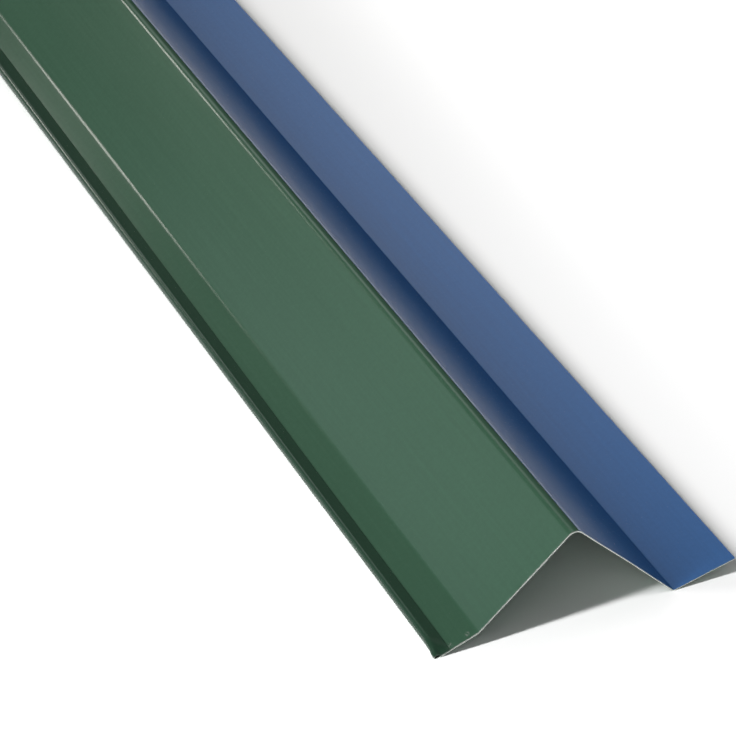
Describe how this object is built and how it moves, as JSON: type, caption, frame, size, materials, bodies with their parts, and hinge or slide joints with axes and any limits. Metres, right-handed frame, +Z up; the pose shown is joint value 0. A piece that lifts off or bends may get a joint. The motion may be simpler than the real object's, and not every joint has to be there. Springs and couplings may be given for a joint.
{
  "type": "eaves flashing",
  "caption": "Long folded strip of painted steel for a roof's edge: drip lip with a rolled hem, raised face with a crest, falling back and a flat fixing flange.",
  "frame": {"origin": "middle of the flashing's length and width, on the floor that it lies on", "axes": "+X from the hemmed drip lip to the fixing flange, +Y along the length, +Z up"},
  "size_m": [0.163, 2, 0.0529],
  "materials": {
    "coated_steel": "semi-gloss"
  },
  "bodies": {
    "root": {"flashing_sheet": "coated_steel"}
  },
  "joints": []
}
